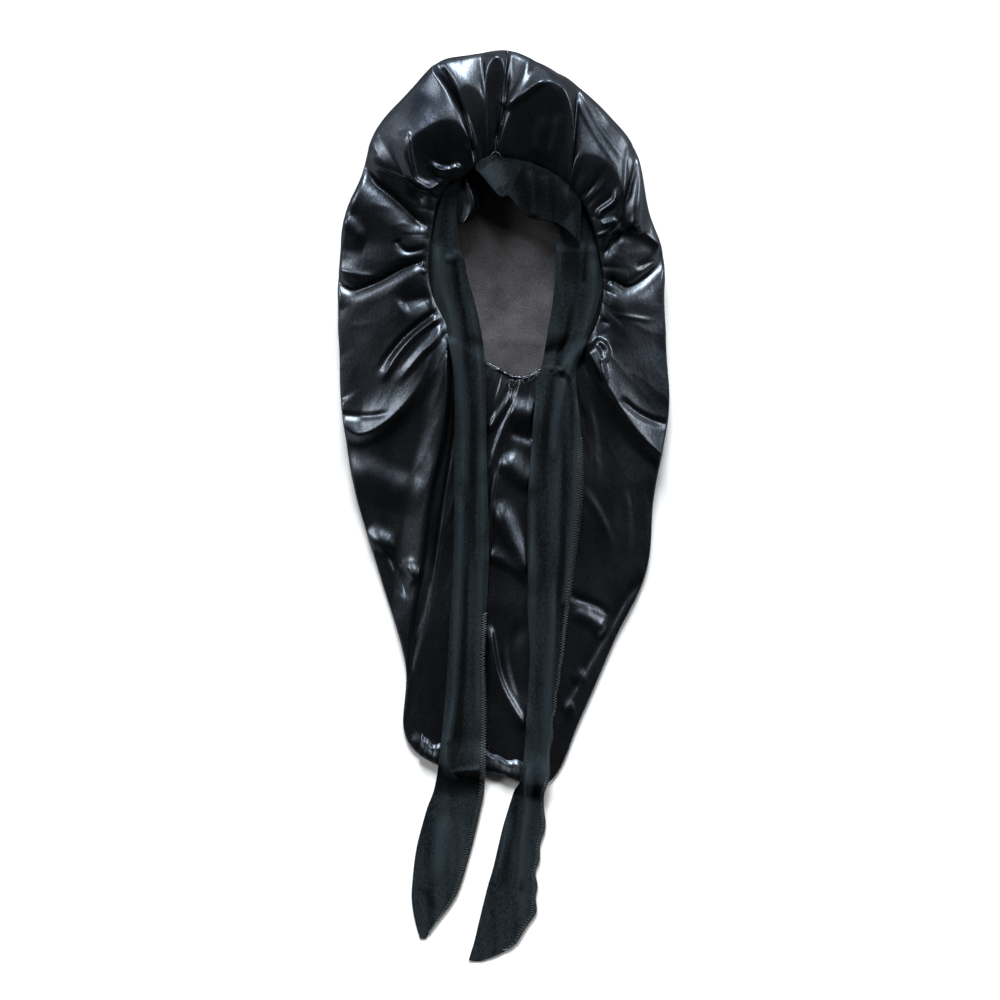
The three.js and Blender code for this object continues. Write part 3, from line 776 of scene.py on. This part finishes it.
def nape_roll(u, v):
    at = NAPE_FROM + (NAPE_TO - NAPE_FROM) * v
    angle = 2 * math.pi * u
    waves = np.abs(np.sin(math.pi * NAPE_PUCKERS * (at + 0.5 * uneven(3 * at, seed=61))))
    pucker = waves**NAPE_PUCKER_ROUNDNESS
    size = NAPE_LEAST + NAPE_PUCKER * pucker * (1 + 0.5 * uneven(5 * at, seed=62))
    size += NAPE_TWIST * np.sin(3 * angle + 9 * at)
    aside = NAPE_HALF_WIDTH * (NAPE_INWARD + np.cos(angle) * size) + NAPE_WANDER * uneven(2 * at, seed=63)
    plan = rim_point(at) + inward_at(at) * aside[:, None]
    height = rim_height(rim_point(at)[:, 1]) + NAPE_HALF_HEIGHT * np.sin(angle) * size
    height -= NAPE_ENDS_SINK * smooth(*NAPE_ENDS, np.abs(v - 0.5))
    return np.column_stack([plan, height])


nape_hem = cloth_grid("nape_hem_roll", nape_roll, columns=16, rows=220, closed=True)
nape_hem.data.materials.append(satin)
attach(nape_hem, "root")
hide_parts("nape_hem")

# The hem at the sack's lower end
# The two panels and the back end in a hem that is turned up onto the front and stitched down.
HEM_FROM = 14.62
HEM_TO = 16.95
HEM_THICKNESS = 1.0 * MM
HEM_WIDTH = 19
HEM_LIFT = 1.3
HEM_AT_OUTLINE = 0.85
HEM_TUCKS = (0.8, 1.1)
HEM_PUCKER = 0.5
HEM_PUCKERS = 31
HEM_CRUMPLE = 0.35

# The waves of the hem's stitched edge, and its rounded cross-section from that edge to the outline.
Wave = namedtuple("Wave", "height turns start")
HEM_EDGE = (Wave(1.6, 9.5, 1.2), Wave(0.9, 23, 0))
Step = namedtuple("Step", "height starts ends")
HEM_ROLL = (Step(2.6, 0, 0.22), Step(2, 0.15, 0.6), Step(-4.6, 0.6, 1))


def steps(rows, share):
    """A profile that goes up and down in smooth steps."""
    return sum(row.height * smooth(row.starts, row.ends, share) for row in rows)


def hem_shape(u, v):
    at = HEM_FROM + (HEM_TO - HEM_FROM) * u
    length = np.hypot(*(edge_point(at) - rim_point(at)).T)
    width = HEM_WIDTH + sum(wave.height * np.sin(wave.turns * at + wave.start) for wave in HEM_EDGE)
    s = TUCK_FROM * (1 - width / length * (1 - np.clip(v / HEM_AT_OUTLINE, 0, 1)))
    s += (1 - TUCK_FROM) * smooth(*HEM_TUCKS, v)
    shape = front_base(at, s)
    puckers = HEM_PUCKER * np.sin(HEM_PUCKERS * at) * np.sin(math.pi * v)
    puckers += HEM_CRUMPLE * drift(at * 9, v * 3, LATTICE, seed=70)
    shape[:, 2] += HEM_LIFT + steps(HEM_ROLL, v) + puckers
    return shape


bottom_hem = cloth_grid("bottom_hem_fold", hem_shape, columns=150, rows=22)
give_thickness(bottom_hem, HEM_THICKNESS, satin)
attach(bottom_hem, "root")
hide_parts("bottom_hem")

# The band round the face opening and its two ties
# A strip of matte black jersey is sewn to the rim on each side, and runs on as a long tie with a
# rounded end, which lies down the front of the sack and past its hem.
JERSEY_THICKNESS = 0.75 * MM
CELL = 2.5
MAP_LOW = (-100, -420)
MAP_HIGH = (105, 300)
BRIDGE_CELLS = 2
JUST_INSIDE = 1.001


def surface_heights(pieces):
    """The highest cloth over each cell of a plan map, in millimetres, and 0 where there is none."""
    corners, faces = [], []
    for piece in pieces:
        first = len(corners)
        corners += [vertex.co.copy() for vertex in piece.data.vertices]
        faces += [[first + k for k in polygon.vertices] for polygon in piece.data.polygons]
    tree = BVHTree.FromPolygons(corners, faces)
    xs = np.arange(MAP_LOW[0], MAP_HIGH[0] + CELL, CELL)
    ys = np.arange(MAP_LOW[1], MAP_HIGH[1] + CELL, CELL)
    heights = np.zeros((len(xs), len(ys)))
    for i, x in enumerate(xs):
        for j, y in enumerate(ys):
            hit = tree.ray_cast(Vector((x * MM, y * MM, 1)), Vector((0, 0, -1)))[0]
            heights[i, j] = hit.z / MM if hit else 0
    return heights


def shifted(values, reach):
    """Copies of a map, moved by up to reach cells each way."""
    wide = np.pad(values, reach, mode="edge")
    rows, columns = values.shape
    moves = range(2 * reach + 1)
    return np.array([wide[i : i + rows, j : j + columns] for i in moves for j in moves])


sack_heights = surface_heights((left_panel, right_panel, nape_hem, bottom_hem))
raised = shifted(sack_heights, 1).max(0)
bridged = shifted(shifted(sack_heights, BRIDGE_CELLS).max(0), BRIDGE_CELLS).mean(0)


def map_at(values, plan):
    """A map's value at plan positions, evenly between its cells."""
    place = (plan - np.array(MAP_LOW)) / CELL
    place = np.clip(place, 0, np.array(values.shape) - JUST_INSIDE)
    i, j = np.floor(place).astype(int).T
    fx, fy = (place - np.floor(place)).T
    low = values[i, j] * (1 - fx) + values[i + 1, j] * fx
    high = values[i, j + 1] * (1 - fx) + values[i + 1, j + 1] * fx
    return low * (1 - fy) + high * fy


# Each strip's two side edges in millimetres, from the crown down to the tie's tip.
StripRow = namedtuple("StripRow", "y left right")


def strip_rows(*rows):
    return tuple(StripRow(*row) for row in rows)


LEFT_STRIP = strip_rows(
    (302, -40, -31), (291, -52, -40), (269, -60, -42), (250, -64, -42), (235, -66, -41),
    (224, -68, -36), (208, -67, -33), (188, -63, -27), (161, -54, -21), (138, -48, -18),
    (110, -45, -17), (53, -45, -16), (-40, -46, -14), (-131, -51, -18), (-176, -54, -17),
    (-247, -62, -18), (-275, -71, -22), (-309, -80, -30), (-343, -84, -40), (-359, -84, -48),
    (-376, -81, -61), (-391, -76, -72),
)
RIGHT_STRIP = strip_rows(
    (278, 43, 68), (252, 46, 80), (224, 47, 85), (201, 45, 88), (183, 43, 84), (160, 39, 77),
    (141, 36, 70), (126, 33, 65), (110, 29, 65), (52, 24, 70), (6, 21, 70), (-63, 21, 62),
    (-97, 21, 57), (-131, 23, 53), (-189, 20, 45), (-240, 16, 40), (-257, 9, 36), (-275, 3, 37),
    (-292, -2, 36), (-326, -10, 30), (-343, -15, 29), (-367, -21, 28), (-393, -27, 12), (-403, -30, -2),
    (-411, -32, -22),
)
# Folds along the strips, in millimetres as the sack's folds are.
LEFT_FOLDS = (
    Fold(-3, 11, 11, 0, 0.05, 0.5, ((-46, 300), (-52, 270), (-54, 240), (-52, 215))),
    Fold(2.5, 6, 5, 0.4, 0.2, 0.2, ((-41, 232), (-46, 226), (-54, 226))),
    Fold(4.5, 6, 8, 0.4, 0.1, 0.1, ((-60, 240), (-57, 200), (-48, 170), (-40, 120), (-37, 60), (-37, 10))),
    Fold(-4, 4, 5, 0.5, 0.2, 0.2, ((-46, 232), (-42, 195), (-34, 150), (-29, 90), (-28, 20), (-29, -60))),
    Fold(3.5, 5, 4, 0.5, 0.1, 0.1, ((-30, 190), (-22, 120), (-20, 40), (-20, -40), (-23, -130), (-23, -200))),
    Fold(4.5, 4, 7, 0.6, 0.1, 0.1, ((-39, 20), (-40, -60), (-44, -140), (-47, -190), (-51, -215))),
    Fold(-5, 3, 5, 0.6, 0.2, 0.15, ((-33, -20), (-35, -100), (-38, -160), (-42, -205), (-46, -232))),
    Fold(4, 3, 5, 0.7, 0.2, 0.1,
         ((-46, -170), (-50, -200), (-53, -222), (-52, -235), (-47, -243), (-42, -247))),
    Fold(3, 3, 8, 0.6, 0.1, 0.1, ((-48, -239), (-36, -237), (-22, -235))),
    Fold(-5, 8, 12, 0.2, 0.1, 0.1, ((-64, -252), (-44, -254), (-20, -250))),
    Fold(3, 14, 12, 0.1, 0.3, 0.3, ((-50, -275), (-58, -310), (-66, -350))),
    Fold(-2.5, 5, 5, 0.4, 0.2, 0.2, ((-80, -345), (-70, -352), (-62, -366))),
)
RIGHT_FOLDS = (
    Fold(-4, 12, 12, 0, 0.05, 0.4, ((56, 262), (58, 236), (60, 215), (60, 196))),
    Fold(-3, 3, 3, 0.5, 0.2, 0.2, ((74, 240), (73, 220), (72, 200))),
    Fold(4, 5, 7, 0.4, 0.1, 0.1, ((80, 225), (80, 190), (72, 158), (58, 125), (48, 80), (44, 40))),
    Fold(-4, 4, 4, 0.4, 0.2, 0.2, ((62, 190), (58, 160), (50, 140), (42, 110), (36, 60), (34, 10))),
    Fold(4, 3, 5, 0.7, 0.2, 0.3, ((40, 124), (46, 127), (51, 125), (54, 131), (56, 142))),
    Fold(-3.5, 3, 4, 0.5, 0.2, 0.3, ((44, 120), (54, 119), (60, 104), (63, 74), (63, 40))),
    Fold(4.5, 5, 5, 0.5, 0.1, 0.1, ((65, 100), (66, 40), (63, -10), (58, -60), (54, -90))),
    Fold(-4, 4, 4, 0.4, 0.2, 0.2, ((54, 70), (54, 20), (52, -40), (49, -90))),
    Fold(4, 5, 4, 0.4, 0.2, 0.2, ((27, 100), (25, 40), (25, -40), (26, -120))),
    Fold(6, 2.5, 8, 0.7, 0.15, 0.05,
         ((46, -60), (44, -120), (41, -172), (39.5, -225), (38.5, -250), (37, -264))),
    Fold(6, 8, 2.5, 0.7, 0.2, 0.1, ((21, -228), (20.3, -250), (20, -280), (16.7, -305), (14, -350))),
    Fold(-3, 6, 6, 0.1, 0.2, 0.2, ((11, -262), (6, -300), (-4, -350))),
    Fold(3, 5, 5, 0.3, 0.3, 0.3, ((6, -276), (0, -310), (-8, -345))),
)
# How a strip lies: in the opening it stands over the rim and slopes down inward, at the crown it goes
# under the flap, and from the nape on it lies on the sack. Heights are in millimetres.
OVER_RIM = 1.8
IN_OPENING_SINK = 2.8
SLOPE_INWARD = 6
TURN_IN = 2
TURN_IN_FROM = 0.9
OPENING = (125, 175)
UNDER_FLAP = 6
UNDER_FLAP_WITHIN = 10
TIE_TO_BAND = (118, 160)
OVER_SACK = 1.2
CLEAR_OF_SACK = 0.9
LEAVES_SACK = (148, 168)
FAR_BELOW = 30
LOWEST_STRIP = 1.8
LOWEST_LIFT = 0.15

# The strips' soft unevenness, their curled edges, and the wavy outer edge of the right tie's end.
STRIP_UNDULATION = 0.5
STRIP_WAVES = (9, 35)
EDGE_CURL = 1.1
EDGE_CURL_FROM = 0.85
EDGE_CURL_LENGTH = 23
EDGE_WAVE = 1
EDGE_WAVE_LENGTH = 5.1
EDGE_WAVE_SHIFT = 2
EDGE_WAVE_SHIFT_LENGTH = 27
EDGE_WAVE_FROM = 0.75
EDGE_WAVE_RUN = (-60, -260)


def edge_wave(u, y):
    wave = np.sin(y / EDGE_WAVE_LENGTH + EDGE_WAVE_SHIFT * np.sin(y / EDGE_WAVE_SHIFT_LENGTH))
    return EDGE_WAVE * wave * smooth(EDGE_WAVE_FROM, 1, u) * smooth(*EDGE_WAVE_RUN, y)


def strip_shape(rows, folds, outer_left, under_from):
    """The places of a strip's points. It goes under the flap above y under_from."""
    gone = np.concatenate([[0], np.cumsum(np.hypot(*np.diff(np.array(rows)[:, :2], axis=0).T))])

    def place(u, v):
        y, left, right = down(rows, np.interp(v * gone[-1], gone, np.arange(len(rows)))).T
        x = left * (1 - u) + right * u
        if not outer_left:
            x += edge_wave(u, y)
        plan = np.column_stack([x, y])
        inner = u if outer_left else 1 - u
        sunk = IN_OPENING_SINK + SLOPE_INWARD * inner**2 + TURN_IN * smooth(TURN_IN_FROM, 1, inner)
        in_opening = rim_height(y) + OVER_RIM - sunk * smooth(*OPENING, y)
        in_opening -= UNDER_FLAP * smooth(under_from, under_from + UNDER_FLAP_WITHIN, y)
        on_sack = np.maximum(map_at(bridged, plan), map_at(sack_heights, plan)) + OVER_SACK
        free = FAR_BELOW * smooth(*LEAVES_SACK, y)
        hold = smooth(*TIE_TO_BAND, y)
        lift = sum(fold_lift(plan, fold) for fold in folds)
        lift += STRIP_UNDULATION * drift_over(plan, STRIP_WAVES, seed=80)
        lift += EDGE_CURL * smooth(EDGE_CURL_FROM, 1, np.abs(2 * u - 1)) * np.sin(y / EDGE_CURL_LENGTH)
        height = np.maximum(in_opening * hold + on_sack * (1 - hold), on_sack - free)
        lowest = np.maximum(LOWEST_STRIP + LOWEST_LIFT * lift, map_at(raised, plan) + CLEAR_OF_SACK - free)
        return np.column_stack([plan, np.maximum(height + lift, lowest)])

    return place


# A fold of this height is painted fully pale, as painted highlight on its crest, and a valley of this depth
# is painted fully black, as painted shade.
PAINTED_SHADE_DEPTH = 7


def paint_fold_light_and_shade(piece, folds):
    """Paints a cloth's fold crests paler, as painted highlight, and its valleys deep black, as painted shade.
    """
    plan = np.array([vertex.co[:2] for vertex in piece.data.vertices]) / MM
    amount = sum(fold_lift(plan, fold) for fold in folds) / PAINTED_SHADE_DEPTH
    mark = piece.data.attributes.new("painted_light_and_shade", "FLOAT", "POINT")
    mark.data.foreach_set("value", np.clip(amount, -1, 1).astype(np.float32))


jersey, jersey_shader = cloth_material(
    "black_jersey", low=(0.0028, 0.0042, 0.0052), high=(0.023, 0.032, 0.0385), rough=(0.75, 0.95),
    bump=0.8, across=1300, along=420, patches=70, patch_length=9
)
set_values(jersey_shader, {"Sheen Weight": 0.03, "Sheen Roughness": 0.4, "Specular IOR Level": 0.1})

left_place = strip_shape(LEFT_STRIP, LEFT_FOLDS, outer_left=True, under_from=296)
right_place = strip_shape(RIGHT_STRIP, RIGHT_FOLDS, outer_left=False, under_from=231)
left_strip = cloth_grid("jersey_strip_left", left_place, columns=40, rows=460)
right_strip = cloth_grid("jersey_strip_right", right_place, columns=44, rows=460)
strips = ((left_strip, LEFT_FOLDS, "left_tie"), (right_strip, RIGHT_FOLDS, "right_tie"))
for strip, folds, cad_node in strips:
    # Painted highlight on the strips' fold crests and painted shade in their valleys.
    paint_fold_light_and_shade(strip, folds)
    give_thickness(strip, JERSEY_THICKNESS, jersey)
    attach(strip, "root")
    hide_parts(cad_node)

# The band's loose flap at the crown
# Over the forehead the jersey is wider. It stands off the crown's gathers as a ruffled flap, whose
# free edge hangs into the opening, with its corner folded over to its other side.
FlapRow = namedtuple("FlapRow", "rim_x rim_y free_x free_y lift")
FLAP = (
    FlapRow(-27, 313, -26, 304, 1),
    FlapRow(-20, 317, -21, 298, 5),
    FlapRow(-12, 318, -13, 289, 8),
    FlapRow(-4, 318, -4, 280.5, 9),
    FlapRow(1, 317.5, 3, 281, 6),
    FlapRow(4, 317, 7, 277, -4),
    FlapRow(8, 316, 11, 272, -11),
    FlapRow(18, 313, 18, 265.5, -15),
    FlapRow(29, 308, 28, 262, -16),
    FlapRow(39, 304, 39, 259, -13),
    FlapRow(50, 299, 50, 254.5, -11),
    FlapRow(60, 292, 60, 247, -7),
    FlapRow(69, 280, 68, 239, -4),
)
FLAP_FOLDS = (
    Fold(2.5, 5, 8, 0.5, 0.3, 0.1, ((22, 304), (25, 288), (26, 262))),
    Fold(2.5, 5, 8, 0.5, 0.3, 0.1, ((36, 300), (38, 282), (40, 254))),
    Fold(2, 5, 5, 0.5, 0.3, 0.1, ((54, 290), (57, 272), (60, 242))),
)
# Painted highlight on the flap's raised corner facet, and painted shade over its part that slopes away from
# the crown's light.
FLAP_PAINTED_LIGHT_AND_SHADE = (
    Fold(4, 14, 12, 0, 0.1, 0.1, ((-16, 308), (-9, 299), (-3, 288))),
    Fold(-5, 22, 24, 0, 0.05, 0.1, ((12, 300), (30, 290), (60, 262))),
)
FLAP_OVER_RIM = 0.5
FLAP_RUFFLE = 1.2
FLAP_RUFFLE_TURNS = 17
FLAP_DROOP = 1.15


def flap_shape(u, v):
    rim, free, stand = np.split(down(FLAP, u * (len(FLAP) - 1)), (2, 4), axis=1)
    plan = rim + (free - rim) * v[:, None]
    plan[:, 1] += FLAP_RUFFLE * np.sin(FLAP_RUFFLE_TURNS * u) * v
    lift = sum(fold_lift(plan, fold) for fold in FLAP_FOLDS) + stand[:, 0] * v**FLAP_DROOP
    return np.column_stack([plan, rim_height(rim[:, 1]) + FLAP_OVER_RIM + lift])


flap = cloth_grid("jersey_flap", flap_shape, columns=130, rows=50)
# Painted light and shade on the flap's folds, its corner facet and its part turned away from the light.
paint_fold_light_and_shade(flap, FLAP_FOLDS + FLAP_PAINTED_LIGHT_AND_SHADE)
give_thickness(flap, JERSEY_THICKNESS, jersey)
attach(flap, "root")
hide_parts("forehead_band")

# The pleat at the crown's pinch
# Where the rim is pulled tightest, the satin folds over inward as a small pleat beside the band.
PINCH = strip_rows(
    (298, -41, -34), (292, -44, -29), (282, -45, -23.8), (273, -45, -22), (264, -44, -27),
    (257, -43, -35),
)
PINCH_HEIGHT = 31
PINCH_RIDGE = (Step(4.5, 0.3, 0.72), Step(-6, 0.72, 1))
PINCH_BOW = 3
PINCH_DROP = 3


def pleat_shape(u, v):
    y, left, right = down(PINCH, v * (len(PINCH) - 1)).T
    height = PINCH_HEIGHT + steps(PINCH_RIDGE, u) + PINCH_BOW * np.sin(math.pi * v) - PINCH_DROP * v
    return np.column_stack([left * (1 - u) + right * u, y, height])


pleat = cloth_grid("satin_pleat", pleat_shape, columns=24, rows=40)
give_thickness(pleat, SATIN_THICKNESS, satin, wrong_side)
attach(pleat, "root")

# The overlock stitches on the ties
# The ties' raw edges are overlocked: a thread runs in close loops over the edge.
STRIP_LENGTH = 700
THREAD_RADIUS = 0.5
STITCH_PITCH = 2.2
STITCH_INSET = 0.1
STITCH_OUTSET = 0.012
thread = cloth_material(
    "black_thread", low=(0.1, 0.115, 0.12), high=(0.2, 0.215, 0.22), rough=(0.5, 0.7),
    bump=0.2, across=4000, along=4000, patches=300
)[0]


def thread_lines(name, lines, radius=THREAD_RADIUS):
    """Threads along rows of points in millimetres, as thin tubes."""
    curve = bpy.data.curves.new(name, "CURVE")
    curve.dimensions = "3D"
    curve.bevel_depth = radius * MM
    curve.bevel_resolution = 1
    curve.use_fill_caps = True
    for points in lines:
        spline = curve.splines.new("POLY")
        spline.points.add(len(points) - 1)
        for spot, point in zip(spline.points, points):
            spot.co = (*(np.array(point) * MM), 1)
    curve.materials.append(thread)
    piece = new_object(name, curve)
    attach(piece, "root")
    return piece


def overlock(name, place, start, end):
    """The stitches over a strip's right edge, between two shares of its length."""
    count = int(STRIP_LENGTH * (end - start) / STITCH_PITCH) * 2
    inset = np.where(np.arange(count) % 2 == 0, -STITCH_OUTSET, STITCH_INSET)
    points = place(1 - inset, np.linspace(start, end, count))
    points[:, 2] += THREAD_RADIUS
    return thread_lines(name, [points])


left_overlock = overlock("left_overlock", left_place, start=0.57, end=0.99)
right_overlock = overlock("right_overlock", right_place, start=0.31, end=0.985)

# The loose thread ends
# A few ends of the sewing thread stand out at the nape's hem and at the seam on the crown.
THREAD_ENDS = (
    ((2, 113, 30), (5, 116, 33), (9, 115, 33), (11, 112, 30)),
    ((8, 111, 30), (11, 115, 33), (15, 116, 33), (18, 113, 30)),
    ((14, 112, 30), (17, 117, 33), (21, 118, 33), (24, 115, 30)),
    ((21, 114, 30), (23, 119, 33), (27, 121, 33), (30, 119, 30)),
    ((25, 116, 30), (27, 122, 33), (29, 127, 33)),
    ((5, 114, 30), (4, 110, 32), (7, 107, 31)),
    ((-8, 319, 44), (-8, 326, 49), (-7, 332, 54)),
    ((-8, 320, 44), (-11, 318, 45), (-13, 315, 43)),
    ((-8, 320, 44), (-5, 318, 45), (-3, 315, 43)),
)
THREAD_END_RADIUS = 0.3
THREAD_END_STEPS = 8
end_lines = [smooth_line(line, THREAD_END_STEPS) for line in THREAD_ENDS]
ends = thread_lines("thread_ends", end_lines, THREAD_END_RADIUS)

# The surface, the light and the camera
# The bonnet lies on a pale surface under soft light from the crown's side and from both sides, and is
# seen from straight above.
FLOOR_SIZE = 4.0
floor_material = bpy.data.materials.new("pale_surface")
floor_material.use_nodes = True
floor_shader = floor_material.node_tree.nodes["Principled BSDF"]
set_values(floor_shader, {"Base Color": (0.88, 0.88, 0.88, 1), "Roughness": 0.7})

bm = bmesh.new()
bmesh.ops.create_grid(bm, x_segments=1, y_segments=1, size=FLOOR_SIZE / 2)
floor_mesh = bpy.data.meshes.new("pale_surface")
bm.to_mesh(floor_mesh)
bm.free()
floor_mesh.materials.append(floor_material)
floor = new_object("pale_surface", floor_mesh)


LAMP_HEIGHT = 2.0
WHITE = (1, 1, 1)


def soft_light(name, azimuth, tilt, spread, power, colour=WHITE):
    """A broad light at the given compass angle and angle from straight up, in degrees."""
    light = bpy.data.lights.new(name, "SUN")
    light.angle = math.radians(spread)
    light.energy = power
    light.color = colour
    lamp = new_object(name, light)
    lamp.rotation_euler = (0, math.radians(tilt), math.radians(azimuth))
    lamp.location = (0, 0, LAMP_HEIGHT)


soft_light("crown_light", azimuth=92, tilt=58, spread=24, power=5.4, colour=(0.95, 0.98, 1))
soft_light("left_light", azimuth=153, tilt=62, spread=24, power=2)
soft_light("right_light", azimuth=28, tilt=62, spread=24, power=2)

ROOM_LIGHT = 0.04
VIEW_GAMMA = 0.87
world = bpy.data.worlds.new("soft_room")
world.use_nodes = True
set_values(world.node_tree.nodes["Background"], {"Color": (*WHITE, 1), "Strength": ROOM_LIGHT})
bpy.context.scene.world = world
bpy.context.scene.view_settings.view_transform = "Standard"
bpy.context.scene.view_settings.gamma = VIEW_GAMMA

CAMERA_HEIGHT = 2.6
VIEW_WIDTH = 0.9
VIEW_CENTRE = (-0.004, 0.008)
SACK_MIDDLE_HEIGHT = 0.03
SENSOR_WIDTH = 36
camera_data = bpy.data.cameras.new("camera")
camera_data.sensor_width = SENSOR_WIDTH
camera_data.lens = SENSOR_WIDTH * (CAMERA_HEIGHT - SACK_MIDDLE_HEIGHT) / VIEW_WIDTH
camera = new_object("camera", camera_data)
camera.location = (*VIEW_CENTRE, CAMERA_HEIGHT)
bpy.context.scene.camera = camera
